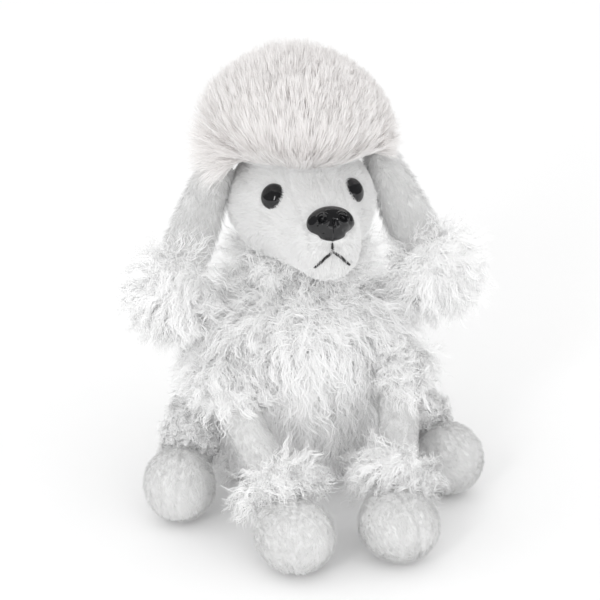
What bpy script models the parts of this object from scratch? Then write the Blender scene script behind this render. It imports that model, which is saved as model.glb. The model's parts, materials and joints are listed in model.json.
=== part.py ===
# A sitting toy poodle in white plush: torso, neck, head with topknot and ears, four legs and a tail.
# Metres, +Z up. The dog faces -Y and its left side is +X. The origin is the middle of the flat seat
# panel, on the surface that the dog sits on. Skins are the sewn fabric with its pressed pile, and the
# fillings inside them are separate pieces.

import math

import bmesh
import bpy
from mathutils import Matrix, Vector

MM = 0.001
UP = Vector((0, 0, 1))
FORWARD = Vector((0, -1, 0))
LEFT = Vector((1, 0, 0))

# Clearances and fabric
SEAM_GAP = 0.3 * MM          # between pieces that are sewn, glued or pressed together
FILL_GAP = 0.9 * MM          # between a skin and the loose filling behind it
ROOT_GAP = 1.2 * MM          # between a limb's round root and the socket it turns in
PILE_SKIN = 3.0 * MM         # curly fabric, backing and pressed pile
SHORT_SKIN = 1.8 * MM        # short-pile fabric

# Seat and torso
SEAT_HALF_WIDTH = 23 * MM
SEAT_HALF_DEPTH = 17 * MM
SEAT_THICK = 2.2 * MM
SEAT_RIM = 3 * MM            # curly skin left round the seat panel underneath
TORSO_HEIGHT = 97 * MM
TORSO_HALF_WIDTH = 50 * MM
TORSO_HALF_DEPTH = 42 * MM
TORSO_LEAN = 22 * MM         # how far the neck end stands forward of the seat
PELLET_BAG_HEIGHT = 17 * MM

# Neck: one ball that the head turns and nods on
NECK_RADIUS = 19 * MM
NECK_RISE = 4 * MM           # ball's centre over the torso's top
NECK_BAND = 5.5 * MM         # half height of the neck's skin
HEAD_OVER_NECK = 30.5 * MM   # middle of the head over the ball's centre

# Head
HEAD_HALF_WIDTH = 33 * MM
HEAD_HALF_HEIGHT = 27 * MM
HEAD_BACK = 30 * MM          # from the neck's axis to the back of the head
FACE_FRONT = 26 * MM         # from the neck's axis to the eyes' plane
MUZZLE_LENGTH = 35.5 * MM      # from the eyes' plane to the front
MUZZLE_HALF_WIDTH = 15.5 * MM
MUZZLE_HALF_HEIGHT = 17.5 * MM
MUZZLE_DROP = 4 * MM         # muzzle's middle below the head's middle
HAIRLINE_RISE = 20.5 * MM    # hairline over the head's middle
GUSSET_HALF_TOP = 12 * MM
GUSSET_HALF_NOSE = 7.5 * MM

# Topknot
TOPKNOT_HALF_WIDTH = 38 * MM
TOPKNOT_HALF_DEPTH = 34 * MM
TOPKNOT_HEIGHT = 39 * MM

# Face fittings
EYE_SPACING = 36 * MM
EYE_RISE = 9 * MM            # over the head's middle
EYE_RADIUS = 5.2 * MM
EYE_BULGE = 3.6 * MM
EYE_POST_RADIUS = 1.6 * MM
EYE_WASHER_RADIUS = 4.5 * MM
NOSE_RISE = 5.6 * MM         # over the head's middle
NOSE_HALF_WIDTH = 9.4 * MM
NOSE_HALF_HEIGHT = 7.4 * MM
NOSE_BULGE = 7.0 * MM
NOSE_POST_RADIUS = 2.0 * MM
NOSE_WASHER_RADIUS = 5.5 * MM
POST_LENGTH = 8 * MM         # behind the skin's outer side
WASHER_THICK = 1.6 * MM
THREAD_RADIUS = 0.5 * MM
MOUTH_DROP = 5 * MM          # where the stitches meet, below the head's middle
MOUTH_STEM = 3.5 * MM
MOUTH_HALF_WIDTH = 6.4 * MM
MOUTH_FALL = 5.5 * MM

# Ears
EAR_ROOT_OUT = 3 * MM         # beyond the head's half width
EAR_ROOT_RISE = 12.5 * MM    # over the head's middle
EAR_ROOT_BACK = 1 * MM       # behind the neck's axis
EAR_ROOT_RADIUS = 6.2 * MM
EAR_LENGTH = 43 * MM
EAR_SPLAY = 24               # degrees from straight down
EAR_HALF_WIDTH = 10.2 * MM
EAR_HALF_THICK = 3.6 * MM
EAR_TIP_RADII = (18 * MM, 11 * MM, 18.5 * MM)
EAR_TIP_OVERLAP = 9 * MM     # how far the flap reaches into its curly tip
EAR_FORWARD = 8 * MM         # how far the tip hangs forward of the root

# Legs: {name: (how high and how far round the torso the root sits, ankle, paw and their sizes)}
LEG_ROOT_RADIUS = 11 * MM
LEG_RADIUS = 8.5 * MM
CUFF_HALF_LENGTH = 9.5 * MM
ANKLE_REACH = 11 * MM        # how far the leg's tube is laid out towards the paw's middle
PAW_CLEAR = 0.2 * MM         # paws' undersides over the surface
ROOT_OUT = 6.3 * MM          # root's centre outside the torso's skin

FORELEG = {
    "root_height": 60 * MM,
    "root_turn": 41,
    "ankle": Vector((25 * MM, -91 * MM, 29 * MM)),
    "cuff_radius": 14.5 * MM,
    "paw": Vector((22 * MM, -109 * MM, 0)),
    "paw_radii": (17.5 * MM, 20.5 * MM, 15 * MM),
}
HINDLEG = {
    "root_height": 30 * MM,
    "root_turn": 5,
    "ankle": Vector((52 * MM, -39 * MM, 29 * MM)),
    "cuff_radius": 13 * MM,
    "paw": Vector((59.5 * MM, -53 * MM, 0)),
    "paw_radii": (16 * MM, 17 * MM, 16 * MM),
}

# Tail
TAIL_RISE = 33 * MM
TAIL_OUT = 2 * MM            # root's centre outside the torso's skin
TAIL_ROOT_RADIUS = 7 * MM
TAIL_RADIUS = 5.2 * MM
TAIL_LENGTH = 27 * MM
TAIL_LIFT = 55               # degrees over level
TAIL_TIP_RADIUS = 13.5 * MM

COLOURS = {
    "curly_pile": ((0.83, 0.83, 0.83, 1), 0.95),
    "short_pile": ((0.84, 0.83, 0.83, 1), 0.9),
    "long_pile": ((0.84, 0.82, 0.82, 1), 0.85),
    "fibrefill": ((0.9, 0.9, 0.88, 1), 1.0),
    "pellets": ((0.7, 0.7, 0.72, 1), 0.6),
    "black_plastic": ((0.015, 0.015, 0.015, 1), 0.15),
    "white_plastic": ((0.8, 0.8, 0.78, 1), 0.4),
    "black_thread": ((0.02, 0.02, 0.02, 1), 0.8),
}


def clear_scene():
    for old in list(bpy.data.objects):
        bpy.data.objects.remove(old, do_unlink=True)


def make_collection(name):
    group = bpy.data.collections.new(name)
    bpy.context.scene.collection.children.link(group)
    return group


def make_material(name):
    colour, roughness = COLOURS[name]
    material = bpy.data.materials.new(name)
    material.use_nodes = True
    shader = material.node_tree.nodes["Principled BSDF"]
    shader.inputs["Base Color"].default_value = colour
    shader.inputs["Roughness"].default_value = roughness
    shader.inputs["Metallic"].default_value = 0
    return material


clear_scene()
PIECES = make_collection("toy_poodle")
CUTTERS = make_collection("cutters")
MATERIALS = {name: make_material(name) for name in COLOURS}


def add_object(name, mesh, finish=None):
    """A piece of the toy, or a cutter when it has no finish."""
    thing = bpy.data.objects.new(name, mesh)
    if finish is None:
        CUTTERS.objects.link(thing)
        thing.hide_render = True
        thing.display_type = "WIRE"
    else:
        PIECES.objects.link(thing)
        mesh.materials.append(MATERIALS[finish])
    return thing


def mirror_mesh(mesh):
    bm = bmesh.new()
    bm.from_mesh(mesh)
    bmesh.ops.scale(bm, vec=(-1, 1, 1), verts=bm.verts)
    bmesh.ops.reverse_faces(bm, faces=bm.faces)
    bm.to_mesh(mesh)
    bm.free()


def mirror_pieces():
    """Each right-hand piece is the left-hand one's finished mesh, mirrored across the middle."""
    bpy.context.view_layer.update()
    graph = bpy.context.evaluated_depsgraph_get()
    for left in [piece for piece in PIECES.objects if piece.name.endswith("_left")]:
        mesh = bpy.data.meshes.new_from_object(left.evaluated_get(graph), depsgraph=graph)
        mirror_mesh(mesh)
        mesh.name = left.name.replace("_left", "_right")
        PIECES.objects.link(bpy.data.objects.new(mesh.name, mesh))


def mesh_from(bm, name):
    bmesh.ops.recalc_face_normals(bm, faces=bm.faces)
    mesh = bpy.data.meshes.new(name)
    bm.to_mesh(mesh)
    bm.free()
    mesh.shade_smooth()
    return mesh


def ball(name, centre, radii, finish=None, segments=12, rings=8, turn=None):
    """An ellipsoid. turn is a rotation matrix for its axes."""
    bm = bmesh.new()
    bmesh.ops.create_uvsphere(bm, u_segments=segments, v_segments=rings, radius=1)
    bmesh.ops.scale(bm, vec=radii, verts=bm.verts)
    if turn:
        bmesh.ops.transform(bm, matrix=turn, verts=bm.verts)
    bmesh.ops.translate(bm, vec=centre, verts=bm.verts)
    return add_object(name, mesh_from(bm, name), finish)


def box(name, low, high):
    bm = bmesh.new()
    bmesh.ops.create_cube(bm, size=1)
    low, high = Vector(low), Vector(high)
    bmesh.ops.scale(bm, vec=high - low, verts=bm.verts)
    bmesh.ops.translate(bm, vec=(low + high) / 2, verts=bm.verts)
    return add_object(name, mesh_from(bm, name))


def rod(name, start, end, radius, finish=None, sides=12):
    """A round rod from start to end."""
    start, end = Vector(start), Vector(end)
    axis = end - start
    bm = bmesh.new()
    bmesh.ops.create_cone(
        bm, cap_ends=True, segments=sides, radius1=radius, radius2=radius, depth=axis.length,
    )
    turn = axis.to_track_quat("Z", "Y").to_matrix().to_4x4()
    bmesh.ops.transform(bm, matrix=Matrix.Translation((start + end) / 2) @ turn, verts=bm.verts)
    return add_object(name, mesh_from(bm, name), finish)


def form(name, rings, across, other, finish=None, sides=8, smoothed=True):
    """A soft closed form: a cage of elliptical rings (centre, half across, half other).

    The first and the last ring are the points where the form closes. Smoothing doubles the sides.
    """
    swell = 1 / (0.75 + 0.25 * math.cos(2 * math.pi / sides)) if smoothed else 1
    bm = bmesh.new()
    loops = []
    for centre, half_across, half_other in rings[1:-1]:
        loop = []
        for side in range(sides):
            angle = 2 * math.pi * side / sides
            offset = across * math.cos(angle) * half_across + other * math.sin(angle) * half_other
            loop.append(bm.verts.new(centre + offset * swell))
        loops.append(loop)
    for near, far in zip(loops, loops[1:]):
        for side in range(sides):
            following = (side + 1) % sides
            bm.faces.new((near[side], near[following], far[following], far[side]))
    for pole, loop in ((rings[0][0], loops[0]), (rings[-1][0], loops[-1])):
        tip = bm.verts.new(pole)
        for side in range(sides):
            bm.faces.new((tip, loop[side], loop[(side + 1) % sides]))
    thing = add_object(name, mesh_from(bm, name), finish)
    if smoothed:
        smooth = thing.modifiers.new("smooth", "SUBSURF")
        smooth.levels = 1
        smooth.render_levels = 1
    return thing


def offset_skin(thing, distance):
    """Moves the surface along its normals: outwards if distance is positive."""
    move = thing.modifiers.new("offset", "DISPLACE")
    move.mid_level = 0
    move.strength = distance


def hollow(thing, wall):
    shell = thing.modifiers.new("skin", "SOLIDIFY")
    shell.thickness = wall
    shell.offset = -1
    shell.use_even_offset = True


def cut(thing, *cutters, operation="DIFFERENCE"):
    for cutter in cutters:
        step = thing.modifiers.new(cutter.name, "BOOLEAN")
        step.operation = operation
        step.solver = "EXACT"
        step.object = cutter


def surface_point(thing, start, direction):
    """Where a line from outside first meets the thing, and the outward normal there."""
    bpy.context.view_layer.update()
    solid = thing.evaluated_get(bpy.context.evaluated_depsgraph_get())
    hit, place, normal, _ = solid.ray_cast(Vector(start), Vector(direction).normalized())
    if not hit:
        raise ValueError(f"no surface of {thing.name} lies on that line")
    return place, normal


FAR = 300 * MM

# ---- torso ----

NECK_AXIS_Y = -TORSO_LEAN
NECK_CENTRE = Vector((0, NECK_AXIS_Y, TORSO_HEIGHT + NECK_RISE))


def torso_rings():
    seat_width = SEAT_HALF_WIDTH + SEAT_RIM
    seat_depth = SEAT_HALF_DEPTH + SEAT_RIM
    shares = [  # height, width, depth and lean, as shares of the torso's
        (0.17, 0.78, 0.81, 0.20), (0.37, 0.89, 0.93, 0.48), (0.57, 0.99, 1.00, 0.66),
        (0.76, 0.95, 0.97, 0.82), (0.90, 0.70, 0.74, 0.95), (0.98, 0.34, 0.38, 1.00),
    ]
    rings = [
        (Vector((0, 0, -4 * MM)), 0, 0),
        (Vector((0, 0, -2.5 * MM)), seat_width - 2 * MM, seat_depth - 2 * MM),
        (Vector((0, 0, 4 * MM)), seat_width + 3 * MM, seat_depth + 3 * MM),
    ]
    for height, width, depth, lean in shares:
        centre = Vector((0, -lean * TORSO_LEAN, height * TORSO_HEIGHT))
        rings.append((centre, width * TORSO_HALF_WIDTH, depth * TORSO_HALF_DEPTH))
    rings.append((Vector((0, -TORSO_LEAN, TORSO_HEIGHT)), 0, 0))
    return rings


def torso_form(name, finish=None):
    return form(name, torso_rings(), LEFT, -FORWARD, finish)


TORSO_SHAPE = torso_form("torso_shape")
UNDERGROUND = box("underground", (-FAR, -FAR, -FAR), (FAR, FAR, 0))
RIGHT_OF_SEAM = box("right_of_seam", (-FAR, -FAR, -FAR), (SEAM_GAP / 2, FAR, FAR))
NECK_SOCKET = ball("neck_socket", NECK_CENTRE, [NECK_RADIUS + ROOT_GAP] * 3, segments=16, rings=12)


def leg_root(leg):
    """The middle of the left leg's round root, a little outside the torso's skin."""
    turn = math.radians(leg["root_turn"])
    direction = Vector((math.cos(turn), -math.sin(turn), 0))
    start = Vector((0, -TORSO_LEAN * 0.65, leg["root_height"])) + direction * FAR
    place, _ = surface_point(TORSO_SHAPE, start, -direction)
    return place + direction * ROOT_OUT


def tail_root():
    place, _ = surface_point(TORSO_SHAPE, (0, FAR, TAIL_RISE), FORWARD)
    return place - FORWARD * TAIL_OUT


def mirrored(place):
    return Vector((-place.x, place.y, place.z))


FORELEG_ROOT = leg_root(FORELEG)
HINDLEG_ROOT = leg_root(HINDLEG)
TAIL_ROOT = tail_root()
SOCKETS = [ball("tail_socket", TAIL_ROOT, [TAIL_ROOT_RADIUS + ROOT_GAP] * 3)]
for socket_name, place in (("foreleg", FORELEG_ROOT), ("hindleg", HINDLEG_ROOT)):
    radii = [LEG_ROOT_RADIUS + ROOT_GAP] * 3
    SOCKETS.append(ball(f"{socket_name}_socket_left", place, radii))
    SOCKETS.append(ball(f"{socket_name}_socket_right", mirrored(place), radii))


def oval(name, half_width, half_depth, low, high, finish=None):
    thing = rod(name, (0, 0, low), (0, 0, high), 1, finish, sides=24)
    for vertex in thing.data.vertices:
        vertex.co.x *= half_width
        vertex.co.y *= half_depth
    return thing


def build_torso():
    seat_hole = oval(
        "seat_hole", SEAT_HALF_WIDTH + SEAM_GAP, SEAT_HALF_DEPTH + SEAM_GAP, -PILE_SKIN, 2 * PILE_SKIN
    )
    oval("seat_panel", SEAT_HALF_WIDTH, SEAT_HALF_DEPTH, 0, SEAT_THICK, "short_pile")
    skin = torso_form("body_skin_left", "curly_pile")
    cut(skin, UNDERGROUND)
    hollow(skin, PILE_SKIN)
    cut(skin, seat_hole, RIGHT_OF_SEAM, NECK_SOCKET, *SOCKETS)

    bag_centre = Vector((0, 0, SEAT_THICK + SEAM_GAP))
    bag_radii = (SEAT_HALF_WIDTH, SEAT_HALF_DEPTH, PELLET_BAG_HEIGHT)
    below_bag = box("below_bag", (-FAR, -FAR, -FAR), (FAR, FAR, bag_centre.z))
    bag = ball("pellet_bag", bag_centre, bag_radii, "pellets")
    cut(bag, below_bag)
    bag_space = ball("pellet_bag_space", bag_centre, [r + SEAM_GAP for r in bag_radii])

    filling = torso_form("body_filling", "fibrefill")
    cut(filling, UNDERGROUND)
    offset_skin(filling, -PILE_SKIN - FILL_GAP)
    cut(filling, bag_space, NECK_SOCKET, *SOCKETS)


def build_neck():
    inner = NECK_RADIUS - PILE_SKIN
    ball("neck_filling", NECK_CENTRE, [inner - FILL_GAP] * 3, "fibrefill")
    skin = ball("neck_skin", NECK_CENTRE, [NECK_RADIUS] * 3, "curly_pile", segments=16, rings=12)
    hollow(skin, PILE_SKIN)
    low, high = NECK_CENTRE.z - NECK_BAND, NECK_CENTRE.z + NECK_BAND
    cut(
        skin,
        box("under_neck_skin", (-FAR, -FAR, -FAR), (FAR, FAR, low)),
        box("over_neck_skin", (-FAR, -FAR, high), (FAR, FAR, FAR)),
    )


# ---- head ----

HEAD_CENTRE = NECK_CENTRE + UP * HEAD_OVER_NECK
HAIRLINE = HEAD_CENTRE.z + HAIRLINE_RISE


def head_rings():
    width, height = HEAD_HALF_WIDTH, HEAD_HALF_HEIGHT
    muzzle_width, muzzle_height = MUZZLE_HALF_WIDTH, MUZZLE_HALF_HEIGHT
    front = FACE_FRONT + MUZZLE_LENGTH
    plan = [  # forward of the neck's axis, rise, half width, half height
        (-HEAD_BACK, 0, 0, 0),
        (-HEAD_BACK * 0.86, 0, width * 0.45, height * 0.5),
        (-HEAD_BACK * 0.52, 0, width * 0.84, height * 0.88),
        (0, 0, width, height),
        (FACE_FRONT * 0.55, -0.5 * MM, width * 0.95, height * 0.97),
        (FACE_FRONT, -2.5 * MM, width * 0.69, height * 0.82),
        (FACE_FRONT + MUZZLE_LENGTH * 0.22, -MUZZLE_DROP, muzzle_width * 1.1, muzzle_height * 1.08),
        (FACE_FRONT + MUZZLE_LENGTH * 0.5, -MUZZLE_DROP, muzzle_width, muzzle_height),
        (
            FACE_FRONT + MUZZLE_LENGTH * 0.82, -MUZZLE_DROP - 0.8 * MM,
            muzzle_width * 0.9, muzzle_height * 0.85,
        ),
        (
            FACE_FRONT + MUZZLE_LENGTH * 0.96, -MUZZLE_DROP - 3 * MM,
            muzzle_width * 0.64, muzzle_height * 0.55,
        ),
        (front, -MUZZLE_DROP - 4 * MM, 0, 0),
    ]
    return [
        (HEAD_CENTRE + FORWARD * ahead + UP * rise, half_width, half_height)
        for ahead, rise, half_width, half_height in plan
    ]


def head_form(name, finish=None):
    return form(name, head_rings(), LEFT, UP, finish)


HEAD_SHAPE = head_form("head_shape")
HEAD_ROOM = head_form("head_room")
offset_skin(HEAD_ROOM, SEAM_GAP)
HEAD_INSIDE = head_form("head_inside")
offset_skin(HEAD_INSIDE, -SHORT_SKIN - FILL_GAP)
OVER_HAIRLINE = box("over_hairline", (-FAR, -FAR, HAIRLINE), (FAR, FAR, FAR))


def face_point(x, rise):
    return surface_point(HEAD_SHAPE, (x, -FAR, HEAD_CENTRE.z + rise), -FORWARD)


def gusset_space(name, gap):
    """A wedge over the forehead and the top of the muzzle, wider towards the hairline."""
    back = HEAD_CENTRE + FORWARD * FACE_FRONT * 0.4
    front = HEAD_CENTRE + FORWARD * (FACE_FRONT + MUZZLE_LENGTH * 1.2)
    bm = bmesh.new()
    bmesh.ops.create_cube(bm, size=1)
    floor = HEAD_CENTRE.z + NOSE_RISE - NOSE_HALF_HEIGHT - gap
    for vertex in bm.verts:
        at_front = vertex.co.y < 0
        half = GUSSET_HALF_NOSE if at_front else GUSSET_HALF_TOP
        vertex.co.x = math.copysign(half + gap, vertex.co.x)
        vertex.co.y = front.y if at_front else back.y
        vertex.co.z = FAR if vertex.co.z > 0 else floor
    return add_object(name, mesh_from(bm, name))


def face_fitting(name, washer_name, at, normal, radii, post_radius, washer_radius):
    """A moulded eye or nose: a dome on the skin, its post through it, and the washer behind."""
    turn = normal.to_track_quat("Z", "Y").to_matrix().to_4x4()
    dome = ball(name, at, radii, "black_plastic", turn=turn)
    cut(dome, HEAD_ROOM)
    post = rod(f"{name}_post", at + normal * 1 * MM, at - normal * POST_LENGTH, post_radius, sides=10)
    cut(dome, post, operation="UNION")
    hole = rod(
        f"{name}_hole", at + normal * 1 * MM, at - normal * (POST_LENGTH + SEAM_GAP),
        post_radius + SEAM_GAP, sides=10,
    )
    near = at - normal * (SHORT_SKIN + 2 * MM)
    far = near - normal * WASHER_THICK
    washer = rod(washer_name, near, far, washer_radius, "white_plastic", sides=16)
    cut(washer, hole)
    cut(washer, HEAD_INSIDE, operation="INTERSECT")
    room = rod(
        f"{washer_name}_room", at, far - normal * SEAM_GAP, washer_radius + SEAM_GAP, sides=16
    )
    return hole, room


def mouth_stitches():
    """An upside-down Y of thread on the front of the muzzle."""
    def on_face(x, rise):
        place, normal = face_point(x, rise)
        return place + normal * (THREAD_RADIUS + SEAM_GAP * 1.5)

    meet = on_face(0, -MOUTH_DROP)
    top = on_face(0, -MOUTH_DROP + MOUTH_STEM)
    stitches = rod("mouth_stitches", top, meet, THREAD_RADIUS, "black_thread", sides=6)
    for side in (1, -1):
        middle = on_face(side * MOUTH_HALF_WIDTH * 0.5, -MOUTH_DROP - MOUTH_FALL * 0.4)
        corner = on_face(side * MOUTH_HALF_WIDTH, -MOUTH_DROP - MOUTH_FALL)
        for near, far in ((meet, middle), (middle, corner)):
            reach = (far - near).normalized() * THREAD_RADIUS * 0.6
            arm = rod("mouth_arm", near - reach, far + reach, THREAD_RADIUS, sides=6)
            cut(stitches, arm, operation="UNION")


def topknot_form(name, finish=None):
    shares = [  # height, width and depth as shares, the rim first
        (0.00, 0.84, 0.86), (0.13, 0.98, 0.99), (0.36, 1.0, 1.0), (0.62, 0.89, 0.89),
        (0.85, 0.58, 0.58),
    ]
    base = Vector((0, NECK_AXIS_Y - 2 * MM, HAIRLINE))
    rings = [
        (base - UP * 5 * MM, 0, 0),
        (base - UP * 4 * MM, TOPKNOT_HALF_WIDTH * 0.45, TOPKNOT_HALF_DEPTH * 0.48),
    ]
    for height, width, depth in shares:
        centre = base + UP * height * TOPKNOT_HEIGHT
        rings.append((centre, width * TOPKNOT_HALF_WIDTH, depth * TOPKNOT_HALF_DEPTH))
    rings.append((base + UP * TOPKNOT_HEIGHT, 0, 0))
    return form(name, rings, LEFT, -FORWARD, finish)


def build_head():
    holes = []
    rooms = []
    fittings = (
        ("eye_left", "eye_washer_left", EYE_SPACING / 2, EYE_RISE,
         (EYE_RADIUS, EYE_RADIUS, EYE_BULGE), EYE_POST_RADIUS, EYE_WASHER_RADIUS),
        ("nose", "nose_washer", 0, NOSE_RISE,
         (NOSE_HALF_WIDTH, NOSE_HALF_HEIGHT, NOSE_BULGE), NOSE_POST_RADIUS, NOSE_WASHER_RADIUS),
    )
    for name, washer_name, x, rise, radii, post_radius, washer_radius in fittings:
        at, normal = face_point(x, rise)
        hole, room = face_fitting(name, washer_name, at, normal, radii, post_radius, washer_radius)
        holes.append(hole)
        rooms.append(room)

    skin = head_form("head_skin_left", "short_pile")
    hollow(skin, SHORT_SKIN)
    cut(skin, OVER_HAIRLINE, gusset_space("gusset_room", SEAM_GAP), RIGHT_OF_SEAM, NECK_SOCKET, *holes)
    gusset = head_form("forehead_gusset", "short_pile")
    hollow(gusset, SHORT_SKIN)
    cut(gusset, OVER_HAIRLINE)
    cut(gusset, gusset_space("gusset_space", 0), operation="INTERSECT")
    cut(gusset, *holes)

    mirrored_cuts = []
    for cutter in (rooms[0], holes[0]):
        other = bpy.data.objects.new(f"{cutter.name}_mirrored", cutter.data.copy())
        mirror_mesh(other.data)
        CUTTERS.objects.link(other)
        other.hide_render = True
        other.display_type = "WIRE"
        mirrored_cuts.append(other)
    filling = head_form("head_filling", "fibrefill")
    offset_skin(filling, -SHORT_SKIN - FILL_GAP)
    cut(filling, OVER_HAIRLINE, NECK_SOCKET, *rooms, *holes, *mirrored_cuts)

    under_topknot = box("under_topknot", (-FAR, -FAR, -FAR), (FAR, FAR, HAIRLINE + SEAM_GAP))
    cap = topknot_form("topknot_cap", "long_pile")
    hollow(cap, PILE_SKIN)
    cut(cap, under_topknot)
    crown = topknot_form("topknot_filling", "fibrefill")
    offset_skin(crown, -PILE_SKIN - FILL_GAP)
    cut(crown, under_topknot)
    mouth_stitches()


# ---- ears ----

EAR_ROOT = HEAD_CENTRE + Vector((HEAD_HALF_WIDTH + EAR_ROOT_OUT, EAR_ROOT_BACK, EAR_ROOT_RISE))


def build_ear():
    splay = math.radians(EAR_SPLAY)
    down = Vector((math.sin(splay), -EAR_FORWARD / EAR_LENGTH, -math.cos(splay))).normalized()
    across = Vector((math.cos(splay), 0, math.sin(splay)))
    other = down.cross(across)
    plan = [  # along the flap, half width, half thickness
        (-EAR_ROOT_RADIUS, 0, 0),
        (-EAR_ROOT_RADIUS * 0.75, EAR_ROOT_RADIUS * 0.6, EAR_ROOT_RADIUS * 0.5),
        (0, EAR_ROOT_RADIUS, EAR_ROOT_RADIUS * 0.8),
        (EAR_LENGTH * 0.3, EAR_HALF_WIDTH * 0.8, EAR_HALF_THICK),
        (EAR_LENGTH * 0.75, EAR_HALF_WIDTH, EAR_HALF_THICK),
        (EAR_LENGTH * 0.97, EAR_HALF_WIDTH * 0.85, EAR_HALF_THICK * 0.8),
        (EAR_LENGTH, 0, 0),
    ]

    rings = [(EAR_ROOT + down * along, half, thick) for along, half, thick in plan]

    form("ear_left", rings, across, other, "short_pile", sides=6)
    tip_centre = EAR_ROOT + down * (EAR_LENGTH - EAR_TIP_OVERLAP + EAR_TIP_RADII[2])
    tip = ball("ear_tip_left", tip_centre, EAR_TIP_RADII, "curly_pile")
    room = form("ear_room", rings, across, other, sides=6)
    offset_skin(room, SEAM_GAP)
    cut(tip, room)


# ---- legs and tail ----

def limb_form(name, root, end, root_radius, radius, finish=None):
    """A stuffed tube with a round root, turned about the root's middle without touching its socket."""
    along = (end - root).normalized()
    across = along.cross(UP).normalized()
    other = along.cross(across)
    length = (end - root).length
    plan = [
        (-root_radius, 0), (-root_radius * 0.85, root_radius * 0.48),
        (-root_radius * 0.45, root_radius * 0.88), (root_radius * 0.15, root_radius * 0.98),
        (root_radius * 0.9, radius + (root_radius - radius) * 0.3), (length * 0.8, radius),
        (length, radius * 0.96), (length + 1 * MM, 0),
    ]
    rings = [(root + along * where, size, size) for where, size in plan]
    return form(name, rings, across, other, finish, sides=10, smoothed=False)


def build_leg(leg_name, leg, root):
    paw_name = leg_name.replace("leg", "paw")
    ankle = leg["ankle"]
    radii = leg["paw_radii"]
    paw = leg["paw"] + UP * (radii[2] + PAW_CLEAR)
    along = (ankle - root).normalized()
    foot = ankle + (paw - ankle).normalized() * ANKLE_REACH

    paw_room = ball(f"{paw_name}_room", paw, [r + SEAM_GAP for r in radii])
    ankle_hole = rod(f"{paw_name}_hole", ankle, paw, LEG_RADIUS - SHORT_SKIN)
    skin = ball(f"{paw_name}_skin_left", paw, radii, "short_pile")
    hollow(skin, SHORT_SKIN)
    cut(skin, ankle_hole)
    pellets = ball(f"{paw_name}_pellets_left", paw, radii, "pellets")
    offset_skin(pellets, -SHORT_SKIN - FILL_GAP)

    tube = limb_form(f"{leg_name}_skin_left", root, foot, LEG_ROOT_RADIUS, LEG_RADIUS, "short_pile")
    hollow(tube, SHORT_SKIN)
    cut(tube, paw_room)
    filling = limb_form(f"{leg_name}_filling_left", root, foot, LEG_ROOT_RADIUS, LEG_RADIUS, "fibrefill")
    offset_skin(filling, -SHORT_SKIN - FILL_GAP)
    cut(filling, paw_room)

    tube_room = limb_form(f"{leg_name}_room", root, foot, LEG_ROOT_RADIUS, LEG_RADIUS)
    offset_skin(tube_room, SEAM_GAP)
    turn = along.to_track_quat("Z", "Y").to_matrix().to_4x4()
    cuff_radii = (leg["cuff_radius"], leg["cuff_radius"], CUFF_HALF_LENGTH)
    cuff = ball(f"{leg_name}_cuff_left", ankle, cuff_radii, "curly_pile", turn=turn)
    cut(cuff, paw_room, tube_room)


def build_tail():
    lift = math.radians(TAIL_LIFT)
    along = Vector((0, math.cos(lift), math.sin(lift)))
    end = TAIL_ROOT + along * TAIL_LENGTH
    skin = limb_form("tail_skin", TAIL_ROOT, end, TAIL_ROOT_RADIUS, TAIL_RADIUS, "short_pile")
    hollow(skin, SHORT_SKIN)
    pompon_centre = end + along * TAIL_TIP_RADIUS * 0.55
    open_end = ball("tail_open_end", pompon_centre, [TAIL_TIP_RADIUS * 0.75] * 3)
    cut(skin, open_end)
    filling = limb_form("tail_filling", TAIL_ROOT, end, TAIL_ROOT_RADIUS, TAIL_RADIUS, "fibrefill")
    offset_skin(filling, -SHORT_SKIN - FILL_GAP)
    cut(filling, open_end)
    pompon = ball("tail_pompon", pompon_centre, [TAIL_TIP_RADIUS] * 3, "curly_pile")
    room = limb_form("tail_room", TAIL_ROOT, end, TAIL_ROOT_RADIUS, TAIL_RADIUS)
    offset_skin(room, SEAM_GAP)
    cut(pompon, room)


# ---- joints: each moving piece hangs from an empty on its joint's axis ----


def pivot(name, place, parent=None):
    empty = bpy.data.objects.new(name, None)
    empty.empty_display_size = 5 * MM
    PIECES.objects.link(empty)
    empty.location = place
    if parent:
        hang(empty, parent)
    return empty


def hang(thing, parent):
    """Parents the thing to a pivot and leaves it where it is."""
    thing.parent = parent
    thing.matrix_parent_inverse = parent.matrix_world.inverted()


def hang_pieces():
    neck = pivot("neck_pivot", NECK_CENTRE)
    bpy.context.view_layer.update()
    head = pivot("head_pivot", NECK_CENTRE, neck)
    bpy.context.view_layer.update()
    pivots = {"neck_": neck, "head_": head, "topknot_": head, "eye_": head, "nose": head,
              "mouth_": head, "forehead_": head, "tail_": pivot("tail_pivot", TAIL_ROOT)}
    sided = {}
    for side_name, place_on in (("left", Vector), ("right", mirrored)):
        sided["ear", side_name] = pivot(f"ear_pivot_{side_name}", place_on(EAR_ROOT), head)
        for limb, root in (("fore", FORELEG_ROOT), ("hind", HINDLEG_ROOT)):
            sided[limb, side_name] = pivot(f"{limb}leg_pivot_{side_name}", place_on(root))
    bpy.context.view_layer.update()
    for piece in [thing for thing in PIECES.objects if thing.type == "MESH"]:
        owner = next((pivots[start] for start in pivots if piece.name.startswith(start)), None)
        for (limb, side_name), place in sided.items():
            if piece.name.startswith(limb) and piece.name.endswith(side_name):
                owner = place
        if owner:
            hang(piece, owner)


build_torso()
build_neck()
build_head()
build_ear()
build_leg("foreleg", FORELEG, FORELEG_ROOT)
build_leg("hindleg", HINDLEG, HINDLEG_ROOT)
build_tail()
mirror_pieces()
hang_pieces()
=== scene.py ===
import json
import math

import bmesh
import bpy
import numpy as np
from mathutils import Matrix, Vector
from mathutils.bvhtree import BVHTree
from mathutils.kdtree import KDTree

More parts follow.
